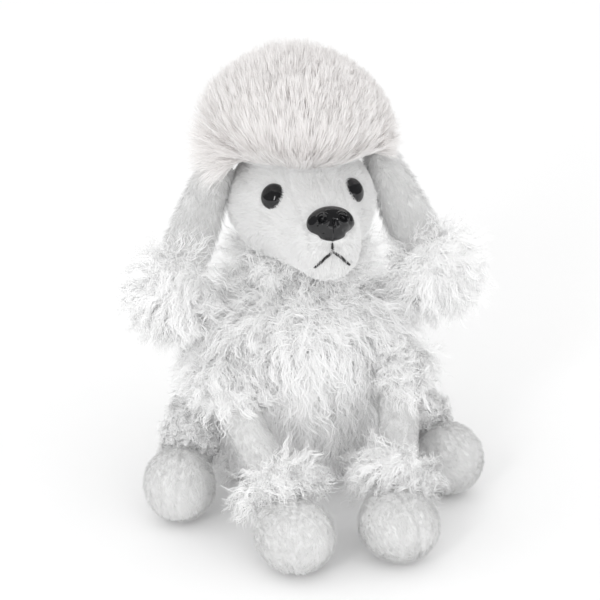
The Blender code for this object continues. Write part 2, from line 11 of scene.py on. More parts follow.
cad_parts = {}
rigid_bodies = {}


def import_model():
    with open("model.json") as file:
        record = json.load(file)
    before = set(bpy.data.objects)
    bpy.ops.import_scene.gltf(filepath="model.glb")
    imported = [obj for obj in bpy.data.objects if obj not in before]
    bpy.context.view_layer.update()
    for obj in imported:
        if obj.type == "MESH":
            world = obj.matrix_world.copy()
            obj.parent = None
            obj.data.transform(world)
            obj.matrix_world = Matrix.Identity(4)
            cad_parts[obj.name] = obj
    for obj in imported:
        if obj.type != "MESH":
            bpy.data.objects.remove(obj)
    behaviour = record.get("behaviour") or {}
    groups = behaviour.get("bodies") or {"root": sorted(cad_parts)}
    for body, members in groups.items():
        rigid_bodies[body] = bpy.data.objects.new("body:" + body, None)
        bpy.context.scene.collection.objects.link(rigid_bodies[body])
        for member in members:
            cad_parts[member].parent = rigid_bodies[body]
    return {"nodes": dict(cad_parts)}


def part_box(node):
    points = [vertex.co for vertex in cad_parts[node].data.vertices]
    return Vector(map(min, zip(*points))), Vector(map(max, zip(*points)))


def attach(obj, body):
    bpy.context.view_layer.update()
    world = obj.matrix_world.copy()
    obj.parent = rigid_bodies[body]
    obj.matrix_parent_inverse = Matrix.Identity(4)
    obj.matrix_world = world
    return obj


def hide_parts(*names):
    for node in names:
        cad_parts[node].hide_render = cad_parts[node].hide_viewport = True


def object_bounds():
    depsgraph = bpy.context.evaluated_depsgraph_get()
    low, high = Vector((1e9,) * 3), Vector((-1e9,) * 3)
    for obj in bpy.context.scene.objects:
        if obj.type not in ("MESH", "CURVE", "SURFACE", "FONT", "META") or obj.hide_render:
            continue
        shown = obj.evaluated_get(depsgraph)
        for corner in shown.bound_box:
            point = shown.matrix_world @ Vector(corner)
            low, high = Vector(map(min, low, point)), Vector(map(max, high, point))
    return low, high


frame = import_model()
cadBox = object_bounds()
mm = 0.001
downwards = np.array((0.0, 0.0, -1.0))
forwards = np.array((0.0, -1.0, 0.0))
cadMiddle = (np.array(cadBox[0]) + np.array(cadBox[1])) / 2
scene = bpy.context.scene


def middleOf(node):
    low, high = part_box(node)
    return np.array((low + high) / 2)


def unit(vectors):
    return vectors / np.maximum(np.linalg.norm(vectors, axis=-1, keepdims=True), 1e-9)


def flatten(vectors, normals):  # the part of each vector that lies in the surface
    return vectors - normals * (vectors * normals).sum(-1, keepdims=True)


def ripple(points, size, seed, parts=6):  # smooth wandering directions over space
    dice = np.random.default_rng(seed)
    waves = unit(dice.normal(size=(parts, 3))) * dice.uniform(0.6, 1.5, (parts, 1)) * (math.tau / size)
    shifts = dice.uniform(0, math.tau, (parts, 3))
    return np.sin((points @ waves.T)[..., None] + shifts).sum(-2) / math.sqrt(parts)


def smoothStep(low, high, values):
    share = np.clip((values - low) / (high - low), 0, 1)
    return share * share * (3 - 2 * share)


# camera and studio

cameraLook = {"lens": 147, "azimuth": -13, "elevation": 21, "distance": 1.0, "aim": (-12.3, -43.5, 10.5)}
studioLook = {
    "world": (1.0, 1.0, 1.0), "worldStrength": 1.04, "mirroredStrength": 0.22,
    "keyPower": 6.0, "keySize": (0.22, 0.8), "keyPlace": (-0.95, -1.3, 0.6),
    "fillPower": 3.5, "fillSize": (1.6, 0.5), "fillPlace": (0.35, -1.6, 0.05),
    "floor": (0.93, 0.93, 0.93), "floorPatch": (0.95, 0.95, 0.95), "floorScale": 1.5,
    "floorSize": 12.0, "floorDrop": 0.2,
    "bounces": 20, "diffuseBounces": 14,  # light has to find its way through white pile
}


def makeCamera(look):
    azimuth, elevation = math.radians(look["azimuth"]), math.radians(look["elevation"])
    back = Vector((
        math.sin(azimuth) * math.cos(elevation),
        -math.cos(azimuth) * math.cos(elevation),
        math.sin(elevation),
    ))
    aim = Vector(cadMiddle) + Vector(look["aim"]) * mm
    data = bpy.data.cameras.new("camera")
    data.lens = look["lens"]
    data.clip_start = 0.05
    camera = bpy.data.objects.new("camera", data)
    camera.location = aim + back * look["distance"]
    camera.rotation_mode = "QUATERNION"
    camera.rotation_quaternion = (-back).to_track_quat("-Z", "Y")
    scene.collection.objects.link(camera)
    scene.camera = camera


def makeSoftbox(name, power, size, place):
    data = bpy.data.lights.new(name, "AREA")
    data.energy = power
    data.shape = "RECTANGLE"
    data.size, data.size_y = size
    lamp = bpy.data.objects.new(name, data)
    lamp.location = Vector(cadMiddle) + Vector(place)
    lamp.rotation_mode = "QUATERNION"
    lamp.rotation_quaternion = (-Vector(place)).to_track_quat("-Z", "Y")
    scene.collection.objects.link(lamp)


makeCamera(cameraLook)
makeSoftbox("key", studioLook["keyPower"], studioLook["keySize"], studioLook["keyPlace"])
makeSoftbox("fill", studioLook["fillPower"], studioLook["fillSize"], studioLook["fillPlace"])
scene.view_settings.view_transform = "Standard"
scene.cycles.max_bounces = studioLook["bounces"]
scene.cycles.diffuse_bounces = studioLook["diffuseBounces"]
print("camera and softboxes are set")


# materials

class Value:  # a socket that can take part in sums
    def __init__(self, look, socket):
        self.look, self.socket = look, socket

    def __add__(self, other):
        return self.look.sum("ADD", self, other)

    def __rsub__(self, other):
        return self.look.sum("SUBTRACT", other, self)

    def __mul__(self, other):
        return self.look.sum("MULTIPLY", self, other)

    def __pow__(self, other):
        return self.look.sum("POWER", self, other)

    __radd__ = __add__
    __rmul__ = __mul__


class Look:  # the nodes of one material, or of the world
    def __init__(self, name, library=bpy.data.materials, shader="Principled BSDF", **sockets):
        self.block = library.new(name)
        self.block.use_nodes = True
        self.tree = self.block.node_tree
        self.shader = self.tree.nodes[shader]
        self.paint(**sockets)

    def feed(self, socket, value):
        if isinstance(value, Value):
            self.tree.links.new(value.socket, socket)
        elif socket.type == "RGBA":
            socket.default_value = (*value, 1)
        else:
            socket.default_value = value

    def node(self, kind, settings, inputs, output=0):
        made = self.tree.nodes.new(kind)
        for setting, value in settings.items():
            setattr(made, setting, value)
        for socket, value in inputs.items():
            self.feed(made.inputs[socket], value)
        return Value(self, made.outputs[output])

    def sum(self, operation, first, second):
        return self.node("ShaderNodeMath", {"operation": operation}, {0: first, 1: second})

    def blend(self, share, first, second):  # of two colours
        return self.node("ShaderNodeMix", {"data_type": "RGBA"}, {0: share, 6: first, 7: second}, 2)

    def noise(self, scale, detail=2.0, place=None):
        return self.node(
            "ShaderNodeTexNoise", {}, {"Vector": place or self.place(), "Scale": scale, "Detail": detail}
        )

    def place(self, stretch=None):
        here = self.node("ShaderNodeTexCoord", {}, {}, "Object")
        if stretch is None:
            return here
        return self.node("ShaderNodeMapping", {}, {"Vector": here, "Scale": stretch})

    def paint(self, **sockets):
        for socketName, value in sockets.items():
            self.feed(self.shader.inputs[socketName.replace("_", " ")], value)
        return self.block

    def bump(self, height, strength, distance):
        self.paint(Normal=self.node(
            "ShaderNodeBump", {}, {"Strength": strength, "Distance": distance, "Height": height}, "Normal"
        ))


def makeWorld(look):
    world = Look("studio", bpy.data.worlds, "Background", Color=look["world"])
    rays = world.node("ShaderNodeLightPath", {}, {}, "Is Glossy Ray")
    # a darker room in the gloss of the eyes and nose
    strength = world.node("ShaderNodeMapRange", {}, {
        "Value": rays, "To Min": look["worldStrength"], "To Max": look["mirroredStrength"],
    })
    scene.world = world.paint(Strength=strength)


makeWorld(studioLook)
# each pile's root colour is darker than its tip: painted shade for the shade deep down in the pile, not a
# real dye
pileColoursShadedAtRoot = {
    "curly": {"root": (0.965, 0.965, 0.965), "tip": (0.985, 0.985, 0.985), "spread": 0.35},
    "silky": {"root": (0.885, 0.87, 0.865), "tip": (0.94, 0.93, 0.925), "spread": 0.3},
    "short": {"root": (0.76, 0.76, 0.76), "tip": (0.81, 0.81, 0.808), "spread": 0.25},
}
backingColours = {
    "long": {"light": (0.94, 0.94, 0.94), "dark": (0.89, 0.89, 0.89)},
    "short": {"light": (0.80, 0.80, 0.798), "dark": (0.75, 0.75, 0.748)},
}


strandFinish = {"roughness": 0.75, "shine": 0.25, "sheen": 0.25, "sheenRoughness": 0.5, "tipPower": 0.6}
backingFinish = {
    "roughness": 0.9, "shine": 0.15, "sheen": 0.3, "cloudScale": 90.0, "napScale": 900.0,
    "napStretch": (1.0, 1.0, 0.35), "cloudHeight": 0.5, "bump": 0.35, "depth": 0.4, "cloudTone": 0.6,
}
mouldedFinish = {
    "shine": 0.5, "grainScale": 1400.0, "smearScale": 160.0, "bump": 0.04, "depth": 0.05,
    "smearRoughness": 0.07,
}


def strandLook(name, colours):  # u of the strand's map is its own tone, v runs from root to tip; the root end is painted darker than the tip as painted shade deep in the pile
    finish = strandFinish
    look = Look(
        name, Roughness=finish["roughness"], Specular_IOR_Level=finish["shine"],
        Sheen_Weight=finish["sheen"], Sheen_Roughness=finish["sheenRoughness"],
    )
    uv = look.node("ShaderNodeUVMap", {"uv_map": "OFBake"}, {})
    tone = look.node("ShaderNodeSeparateXYZ", {}, {0: uv}, 0)
    along = look.node("ShaderNodeSeparateXYZ", {}, {0: uv}, 1)
    # blends from the darker root colour (painted shade) to the lighter tip colour, with a random tone per
    # strand
    share = (along ** finish["tipPower"]) * (1 - colours["spread"] * tone)
    return look.paint(Base_Color=look.blend(share, colours["root"], colours["tip"]))


def backingLook(name, colours):  # the cloth that the pile stands on
    finish = backingFinish
    look = Look(
        name, Roughness=finish["roughness"], Specular_IOR_Level=finish["shine"],
        Sheen_Weight=finish["sheen"],
    )
    clouds = look.noise(finish["cloudScale"], 3.0)
    nap = look.noise(finish["napScale"], 2.0, look.place(finish["napStretch"]))
    look.bump(nap + clouds * finish["cloudHeight"], finish["bump"], finish["depth"] * mm)
    share = clouds * finish["cloudTone"] + nap * (1 - finish["cloudTone"])
    return look.paint(Base_Color=look.blend(share, colours["dark"], colours["light"]))


def mouldedLook(name, colour, roughness, wear):
    finish = mouldedFinish
    look = Look(name, Specular_IOR_Level=finish["shine"])
    grain = look.noise(finish["grainScale"], 3.0)
    smears = look.noise(finish["smearScale"], 3.0)
    look.bump(grain, finish["bump"], finish["depth"] * mm)
    return look.paint(
        Base_Color=look.blend(smears, colour, tuple(c + wear for c in colour)),
        Roughness=roughness + smears * finish["smearRoughness"],
    )


curlyLook = strandLook("curlyPile", pileColoursShadedAtRoot["curly"])
silkyLook = strandLook("silkyPile", pileColoursShadedAtRoot["silky"])
shortLook = strandLook("shortPile", pileColoursShadedAtRoot["short"])
clothLook = backingLook("longPileBacking", backingColours["long"])
napBackingLook = backingLook("shortPileBacking", backingColours["short"])
blackLook = mouldedLook("glossyBlack", (0.004, 0.004, 0.005), 0.02, 0.008)
washerLook = mouldedLook("whiteWasher", (0.74, 0.74, 0.72), 0.45, 0.05)
threadLook = mouldedLook("blackThread", (0.012, 0.012, 0.012), 0.8, 0.02)
floorLook = Look("paleFloor", Roughness=1.0, Specular_IOR_Level=0.0)
floorTint = floorLook.noise(studioLook["floorScale"])
floorLook.paint(Base_Color=floorLook.blend(floorTint, studioLook["floor"], studioLook["floorPatch"]))
print("materials are ready")


# meshes

def addPiece(name, mesh, material):
    piece = bpy.data.objects.new(name, mesh)
    scene.collection.objects.link(piece)
    mesh.materials.clear()
    mesh.materials.append(material)
    return piece


def meshFrom(name, points, faces):
    mesh = bpy.data.meshes.new(name)
    mesh.from_pydata([tuple(p) for p in points], [], faces)
    mesh.update()
    return mesh


def pointsOf(mesh):
    points = np.empty(len(mesh.vertices) * 3)
    mesh.vertices.foreach_get("co", points)
    return points.reshape(-1, 3)


def normalsOf(mesh):
    normals = np.empty(len(mesh.vertices) * 3)
    mesh.vertex_normals.foreach_get("vector", normals)
    return normals.reshape(-1, 3)


def setPoints(mesh, points):
    mesh.vertices.foreach_set("co", np.ascontiguousarray(points, float).ravel())
    mesh.update()


def applyModifiers(piece):
    graph = bpy.context.evaluated_depsgraph_get()
    mesh = bpy.data.meshes.new_from_object(piece.evaluated_get(graph))
    piece.modifiers.clear()
    old = piece.data
    piece.data = mesh
    bpy.data.meshes.remove(old)


def keepOuterSkin(mesh):  # drops the small closed bits a remesh leaves inside
    edges = np.empty(len(mesh.edges) * 2, int)
    mesh.edges.foreach_get("vertices", edges)
    edges = edges.reshape(-1, 2)
    label = np.arange(len(mesh.vertices))
    while True:
        least = np.minimum(label[edges[:, 0]], label[edges[:, 1]])
        fresh = label.copy()
        np.minimum.at(fresh, edges[:, 0], least)
        np.minimum.at(fresh, edges[:, 1], least)
        fresh = fresh[fresh]
        if (fresh == label).all():
            break
        label = fresh
    names, sizes = np.unique(label, return_counts=True)
    lost = np.flatnonzero(label != names[sizes.argmax()])
    if len(lost):
        bm = bmesh.new()
        bm.from_mesh(mesh)
        bm.verts.ensure_lookup_table()
        bmesh.ops.delete(bm, geom=[bm.verts[i] for i in lost], context="VERTS")
        bm.to_mesh(mesh)
        bm.free()


def softForm(name, skins, fillings, look):
    # one closed form round some skins and their fillings, which are grown a little to meet the skins
    points, faces = [], []
    for node in [*skins, *fillings]:
        bm = bmesh.new()
        bm.from_mesh(frame["nodes"][node].data)
        bmesh.ops.remove_doubles(bm, verts=bm.verts, dist=1e-6)
        bm.normal_update()
        grown = look["meet"] * mm if node in fillings else 0
        start = len(points)
        points += [vert.co + vert.normal * grown for vert in bm.verts]
        faces += [[start + vert.index for vert in face.verts] for face in bm.faces]
        bm.free()
    piece = addPiece(name, meshFrom(name, points, faces), look.get("backing", clothLook))
    remesh = piece.modifiers.new("remesh", "REMESH")
    remesh.mode = "VOXEL"
    remesh.voxel_size = look["voxel"] * mm
    applyModifiers(piece)
    keepOuterSkin(piece.data)
    relax(piece, look["relax"])
    setPoints(piece.data, pointsOf(piece.data) - normalsOf(piece.data) * look["shrink"] * mm)
    return piece


def relax(piece, rounds):
    smooth = piece.modifiers.new("smooth", "SMOOTH")
    smooth.factor = 0.5
    smooth.iterations = rounds
    applyModifiers(piece)


def refine(piece, levels):
    subsurf = piece.modifiers.new("subsurf", "SUBSURF")
    subsurf.levels = subsurf.render_levels = levels
    applyModifiers(piece)
    piece.data.polygons.foreach_set("use_smooth", [True] * len(piece.data.polygons))


clothRules = {"pressure": 4.0, "frames": 20, "tension": 15.0, "bending": 0.5}


def stuff(piece, cap, rules=clothRules):  # blows the cloth up from inside, no point moving further than cap
    before = pointsOf(piece.data)
    cloth = piece.modifiers.new("stuffing", "CLOTH")
    cloth.settings.use_pressure = True
    cloth.settings.uniform_pressure_force = rules["pressure"]
    cloth.settings.tension_stiffness = rules["tension"]
    cloth.settings.bending_stiffness = rules["bending"]
    cloth.settings.effector_weights.gravity = 0
    for step in range(1, rules["frames"] + 1):
        scene.frame_set(step)
    graph = bpy.context.evaluated_depsgraph_get()
    after = pointsOf(piece.evaluated_get(graph).data)
    piece.modifiers.clear()
    scene.frame_set(1)
    moved = after - before
    length = np.linalg.norm(moved, axis=1, keepdims=True)
    setPoints(piece.data, before + moved * np.minimum(1, cap * mm / np.maximum(length, 1e-9)))


def treeOf(node):
    mesh = frame["nodes"][node].data
    return BVHTree.FromPolygons([v.co for v in mesh.vertices], [p.vertices for p in mesh.polygons])


def distanceTo(points, nodes):
    trees = [treeOf(node) for node in nodes]
    return np.array([min(tree.find_nearest(p)[3] for tree in trees) for p in points])


def sewSeam(piece, nearNodes, farNodes, depth, width):
    # a sewn line where two panels meet: each point's distance from it is the difference of its distances
    points, normals = pointsOf(piece.data), normalsOf(piece.data)
    away = distanceTo(points, nearNodes) - distanceTo(points, farNodes)
    dip = depth * mm * np.exp(-((away / (width * mm)) ** 2))
    setPoints(piece.data, points - normals * dip[:, None])


def sewPlane(piece, point, normal, depth, width):
    points, normals = pointsOf(piece.data), normalsOf(piece.data)
    away = (points - point) @ unit(np.array(normal, float))
    dip = depth * mm * np.exp(-((away / (width * mm)) ** 2))
    setPoints(piece.data, points - normals * dip[:, None])


def surfaceOf(piece):
    mesh = piece.data
    mesh.calc_loop_triangles()
    triangles = np.empty(len(mesh.loop_triangles) * 3, int)
    mesh.loop_triangles.foreach_get("vertices", triangles)
    return pointsOf(mesh), normalsOf(mesh), triangles.reshape(-1, 3)


# pile

strandRules = {
    "widthSpread": 0.3, "tipNarrowing": 0.75, "leastLift": 0.05, "turnSpread": 0.35, "phaseSpread": 0.35,
    "curlLeast": 0.6, "curlSpread": 0.8, "curlFullAt": 0.35, "ownPlace": 0.25,  # kept by a gathered strand
    "clearance": 0.5, "searchReach": 20, "aboveFloor": 0.3,  # millimetres
}


def scatterRoots(piece, perSquareMm, chance, dice):
    points, normals, triangles = surfaceOf(piece)
    a, b, c = (points[triangles[:, k]] for k in range(3))
    weight = np.linalg.norm(np.cross(b - a, c - a), axis=1) / 2
    if chance is not None:
        weight = weight * chance((a + b + c) / 3)
    count = int(weight.sum() / mm**2 * perSquareMm)
    picked = dice.choice(len(triangles), count, p=weight / weight.sum())
    u, v = dice.random((2, count, 1))
    outside = u + v > 1
    u, v = np.where(outside, 1 - u, u), np.where(outside, 1 - v, v)
    root = a[picked] * (1 - u - v) + b[picked] * u + c[picked] * v
    na, nb, nc = (normals[triangles[picked, k]] for k in range(3))
    return root, unit(na * (1 - u - v) + nb * u + nc * v)


def leadersOf(root, perLock, dice):  # the strand that leads the lock each strand is in
    leaders = dice.choice(len(root), max(1, int(len(root) / perLock)), replace=False)
    tree = KDTree(len(leaders))
    for i, leader in enumerate(leaders):
        tree.insert(root[leader], i)
    tree.balance()
    return leaders[[tree.find(p)[1] for p in root]]


def strandPaths(root, facing, comb, look, dice):
    count, steps = len(root), look["steps"]
    leader = leadersOf(root, look["perLock"], dice)
    t = np.linspace(0, 1, steps + 1)[None, :, None]
    lean = comb(root, facing) + ripple(root, look["swirlSize"] * mm, look["seed"]) * look["swirl"]
    lean = lean + dice.normal(size=(count, 3))[leader] * look["tousle"]
    lean = flatten(lean, facing) + flatten(dice.normal(size=(count, 3)), facing) * look["stray"]
    lift = look["lift"] + dice.normal(size=(count, 1))[leader] * look["liftSpread"]
    lift = np.clip(lift, strandRules["leastLift"], 1)
    start = unit(facing * lift + unit(lean) * (1 - lift))
    if "aim" in look:
        start = unit(look["aim"](root) + lean * look["lay"])
    finish = unit(start + lean * look["lay"] + downwards * look["droop"])
    heading = unit(start[:, None] * (1 - t) + finish[:, None] * t)
    length = look["length"] * mm * (1 + look["lengthSpread"] * dice.uniform(-1, 1, (count, 1, 1)))
    length = length * (1 + look["lengthSpread"] * dice.uniform(-1, 1, (count, 1, 1))[leader])
    if "reach" in look:
        length = length * look["reach"](root)[:, None, None]
    stride = (heading[:, 1:] + heading[:, :-1]) / 2 * length / steps
    path = np.concatenate([np.zeros((count, 1, 3)), stride.cumsum(1)], axis=1)
    if "trim" in look:
        ragged = 1 + look["ragged"] * dice.normal(size=count)[leader]
        path = path * (look["trim"](root, path[:, -1]) * ragged)[:, None, None]
    path = path + root[:, None]
    if look["curl"]:
        one = unit(np.cross(start, unit(dice.normal(size=(count, 3)))[leader]))
        two = np.cross(start, one)
        rules = strandRules
        turns = look["turns"] * (1 + rules["turnSpread"] * dice.uniform(-1, 1, (count, 1, 1)))[leader]
        phase = dice.uniform(0, math.tau, (count, 1, 1))[leader]
        phase = phase + dice.normal(0, rules["phaseSpread"], (count, 1, 1))
        reach = rules["curlLeast"] + rules["curlSpread"] * dice.random((count, 1, 1))[leader]
        reach = look["curl"] * mm * reach * np.minimum(1, t / rules["curlFullAt"])
        angle = math.tau * turns * t + phase
        path = path + reach * (np.cos(angle) * one[:, None] + look["round"] * np.sin(angle) * two[:, None])
    pull = look["gather"] * t ** look["gatherPower"]
    led = path[leader] + (root - root[leader])[:, None] * strandRules["ownPlace"]
    return path * (1 - pull) + led * pull


def pushOut(path, obstacles):
    # keeps strands out of the forms they lie against
    margin, within = strandRules["clearance"] * mm, strandRules["searchReach"] * mm
    for piece in obstacles:
        points = pointsOf(piece.data)
        tree = BVHTree.FromPolygons(points, [tuple(p.vertices) for p in piece.data.polygons])
        low, high = points.min(0) - margin, points.max(0) + margin
        flat = path.reshape(-1, 3)
        for i in np.flatnonzero(((flat > low) & (flat < high)).all(1)):
            spot, normal, face, gap = tree.find_nearest(flat[i], within)
            if spot is not None and (Vector(flat[i]) - spot).dot(normal) < margin:
                flat[i] = spot + normal * margin
        path = flat.reshape(path.shape)
    return path


def ribbonMesh(name, path, facing, width, look, dice):
    # each strand is a flat tapering ribbon that faces outwards
    count, steps = len(path), look["steps"]
    tangent = unit(np.gradient(path, axis=1))
    reference = unit(facing + dice.normal(size=(count, 3)) * look["twist"])[:, None]
    side = unit(np.cross(tangent, reference))
    t = np.linspace(0, 1, steps + 1)[None, :, None]
    half = side * (width[:, None, None] / 2) * (1 - strandRules["tipNarrowing"] * t ** look["taper"])
    sides = np.stack([path - half, path + half], axis=2)[:, :-1].reshape(count, -1, 3)
    points = np.concatenate([sides, path[:, -1:]], axis=1).reshape(-1, 3)
    points[:, 2] = np.maximum(points[:, 2], strandRules["aboveFloor"] * mm)

    perStrand = 2 * steps + 1
    rung = np.arange(steps - 1)[:, None] * 2
    corners = np.concatenate([(rung + (0, 1, 3, 2)).ravel(), [perStrand - 3, perStrand - 2, perStrand - 1]])
    starts = np.arange(steps) * 4
    loops = (corners[None] + np.arange(count)[:, None] * perStrand).ravel()
    loopStarts = (starts[None] + np.arange(count)[:, None] * len(corners)).ravel()
    mesh = bpy.data.meshes.new(name)
    mesh.vertices.add(len(points))
    mesh.vertices.foreach_set("co", points.ravel())
    mesh.loops.add(len(loops))
    mesh.loops.foreach_set("vertex_index", loops)
    mesh.polygons.add(len(loopStarts))
    mesh.polygons.foreach_set("loop_start", loopStarts)
    mesh.update(calc_edges=True)

    tone = np.repeat(dice.random(count), perStrand)
    along = np.tile(np.append(np.repeat(np.linspace(0, 1, steps + 1)[:-1], 2), 1.0), count)
    uv = (np.stack([tone, along], axis=1) * 0.98 + 0.01)[loops]  # just inside the edges of the map
    layer = mesh.uv_layers.new(name="OFBake")
    layer.uv.foreach_set("vector", uv.ravel())
    mesh.polygons.foreach_set("use_smooth", [True] * len(mesh.polygons))
    return mesh


shortPile = {
    "perSquareMm": 5.0, "length": 2.0, "lengthSpread": 0.25, "width": 0.19, "steps": 2, "taper": 1.5,
    "perLock": 9, "lift": 0.4, "liftSpread": 0.04, "lay": 0.3, "droop": 0.0, "swirl": 0.35, "swirlSize": 22,
    "tousle": 0.08, "stray": 0.2, "curl": 0, "gather": 0.08, "gatherPower": 1.0, "twist": 0.3,
    "seed": 11, "look": shortLook, "slot": "short_pile",
}
curlyPile = {
    "perSquareMm": 2.4, "length": 19, "lengthSpread": 0.22, "width": 0.25, "steps": 9, "taper": 2.5,
    "perLock": 9, "lift": 0.36, "liftSpread": 0.1, "lay": 0.9, "droop": 0.3, "swirl": 0.5, "swirlSize": 26,
    "tousle": 0.4, "stray": 0.15, "curl": 1.35, "turns": 2.6, "round": 0.8, "gather": 0.55,
    "gatherPower": 0.8, "twist": 0.35, "seed": 21, "look": curlyLook, "slot": "curly_pile",
}
silkyPile = {  # where it has an aim, that takes the place of the lift
    "perSquareMm": 4.6, "length": 16, "lengthSpread": 0.12, "width": 0.24, "steps": 5, "taper": 1.7,
    "perLock": 14, "lift": 0.34, "liftSpread": 0.05, "lay": 0.25, "droop": -0.1, "swirl": 0.25,
    "swirlSize": 22, "tousle": 0.2, "stray": 0.28, "curl": 0.5, "turns": 0.8, "round": 0.6,
    "gather": 0.2, "gatherPower": 1.3, "twist": 0.4, "seed": 31, "look": silkyLook, "slot": "long_pile",
}


def growPile(names, piece, body, look, comb, chance=None, keepOut=(), parts=None):
    # names holds one piece name for each part that parts() gives
    dice = np.random.default_rng(look["seed"])
    root, facing = scatterRoots(piece, look["perSquareMm"], chance, dice)
    path = strandPaths(root, facing, comb, look, dice)
    if keepOut:
        path = pushOut(path, keepOut)
    spread = strandRules["widthSpread"]
    width = look["width"] * mm * dice.uniform(1 - spread, 1 + spread, len(root))
    part = np.zeros(len(root), int) if parts is None else parts(root)
    for i, name in enumerate(names):
        mine = part == i
        mesh = ribbonMesh(name, path[mine], facing[mine], width[mine], look, dice)
        pile = addPiece(name, mesh, look["look"])
        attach(pile, body)
    print(f"{names[0]}: {len(root)} strands")


def alongLine(start, end):
    direction = unit(np.array(end) - np.array(start))
    return lambda root, facing: np.broadcast_to(direction, root.shape)


# torso

torsoLook = {"voxel": 3.0, "meet": 1.4, "relax": 12, "shrink": 2.0, "cap": 3.0}
torsoNodes = (["body_skin_left", "body_skin_right", "seat_panel"], ["body_filling", "pellet_bag"])
torso = softForm("torsoSkin", *torsoNodes, torsoLook)
stuff(torso, torsoLook["cap"])
refine(torso, 1)
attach(torso, "torso")
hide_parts(*torsoNodes[0], *torsoNodes[1])
print("torso is stuffed")

neckLook = {"voxel": 2.0, "meet": 1.4, "relax": 6, "shrink": 1.0}
neck = softForm("neckSkin", ["neck_skin"], ["neck_filling"], neckLook)
refine(neck, 1)
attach(neck, "neck")
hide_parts("neck_skin", "neck_filling")

# head

headLook = {
    "backing": napBackingLook, "voxel": 1.7, "meet": 1.4, "relax": 8, "shrink": 0.2, "cap": 1.8,
    "gussetSeam": (0.8, 0.7), "middleSeam": (0.6, 0.7), "capSeam": (1.2, 1.2),  # depth and width
}
facePanels = ["head_skin_left", "head_skin_right", "forehead_gusset"]
head = softForm("headSkin", [*facePanels, "topknot_cap"], ["head_filling", "topknot_filling"], headLook)
stuff(head, headLook["cap"])
refine(head, 1)
sewSeam(head, ["forehead_gusset"], ["head_skin_left", "head_skin_right"], *headLook["gussetSeam"])
sewSeam(head, ["head_skin_left"], ["head_skin_right"], *headLook["middleSeam"])
sewSeam(head, ["topknot_cap"], facePanels, *headLook["capSeam"])
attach(head, "head")
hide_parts(*facePanels, "topknot_cap", "head_filling", "topknot_filling")
headTree = BVHTree.FromPolygons(pointsOf(head.data), [tuple(p.vertices) for p in head.data.polygons])
print("head is stuffed")


def onHead(point, spread):  # the nearest place on the head, with the mean normal round it
    spot = headTree.find_nearest(Vector(point))[0]
    found = headTree.find_nearest_range(spot, spread)
    normal = sum((hit[1] for hit in found), Vector())
    return np.array(spot), np.array(normal.normalized())


def localAxes(normal):  # right, up and out of a place on the face
    right = unit(np.cross(np.array((0.0, 0.0, 1.0)), normal))
    return right, np.cross(normal, right), normal


def domeMesh(name, place, axes, shape, look):
    # shape turns each (ring share 0 at the top to 1 at the rim, angle) into local right, up, out
    rings, sectors = look["rings"], look["sectors"]
    share = np.linspace(0, 1, rings + 1)[1:, None]
    angle = np.linspace(0, math.tau, sectors, endpoint=False)[None]
    top = np.zeros((1, 1))
    local = np.concatenate([shape(top, top)[:, 0], shape(share, angle).reshape(-1, 3)])
    points = place + local @ np.array(axes)
    faces = [(0, 1 + i, 1 + (i + 1) % sectors) for i in range(sectors)]
    for ring in range(rings - 1):
        for i in range(sectors):
            near, far = 1 + ring * sectors, 1 + (ring + 1) * sectors
            j = (i + 1) % sectors
            faces.append((near + i, far + i, far + j, near + j))
    faces.append(tuple(1 + (rings - 1) * sectors + i for i in reversed(range(sectors))))
    mesh = meshFrom(name, points, faces)
    mesh.polygons.foreach_set("use_smooth", [True] * len(mesh.polygons))
    return mesh


eyeLook = {
    "spread": 3, "radius": 5.6, "bulge": 3.9, "sink": 1.2, "wrap": 112, "fullness": 0.9,
    "rings": 28, "sectors": 48,
}
noseLook = {  # lines are drawn from and to (right, up), in millimetres from the middle of the nose
    "spread": 5, "rings": 90, "sectors": 160,
    "proud": 1.06, "rise": 0.8, "bulge": 6.6, "sink": 1.0, "wrap": 118,
    "narrow": 0.3, "narrowFrom": 1.0, "narrowTo": 5.5, "lobes": 0.16, "lobesFrom": 4.2, "lobesTo": 6.4,
    "nostrilOut": 4.1, "nostrilUp": 0.4, "nostrilRadius": 1.35, "pit": 1.7,
    "rim": 0.42, "rimRadius": 2.35, "rimWidth": 0.55,
    "wing": 0.6, "wingFrom": (5.4, -0.6), "wingTo": (7.6, -2.4), "wingWidth": 0.75,
    "fold": 0.5, "foldFrom": (9.0, -2.3), "foldTo": (4.2, -4.4), "foldWidth": 0.6,
    "groove": 0.75, "grooveFrom": (0, -0.5), "grooveTo": (0, -9.0), "grooveWidth": 0.5,
}


def eyeShape(share, angle):
    turn = share * math.radians(eyeLook["wrap"])
    flat = eyeLook["radius"] * np.sin(turn) ** eyeLook["fullness"]
    out = np.where(turn < math.pi / 2, eyeLook["bulge"], eyeLook["sink"]) * np.cos(turn)
    return np.stack([flat * np.cos(angle), flat * np.sin(angle), out + 0 * angle], axis=-1) * mm


def ridge(x, y, start, end, width):  # 1 on the line from start to end, fading over width
    start, end = np.array(start), np.array(end)
    along = end - start
    share = np.clip(((x - start[0]) * along[0] + (y - start[1]) * along[1]) / (along @ along), 0, 1)
    gap = np.hypot(x - start[0] - share * along[0], y - start[1] - share * along[1])
    return np.exp(-((gap / width) ** 2))


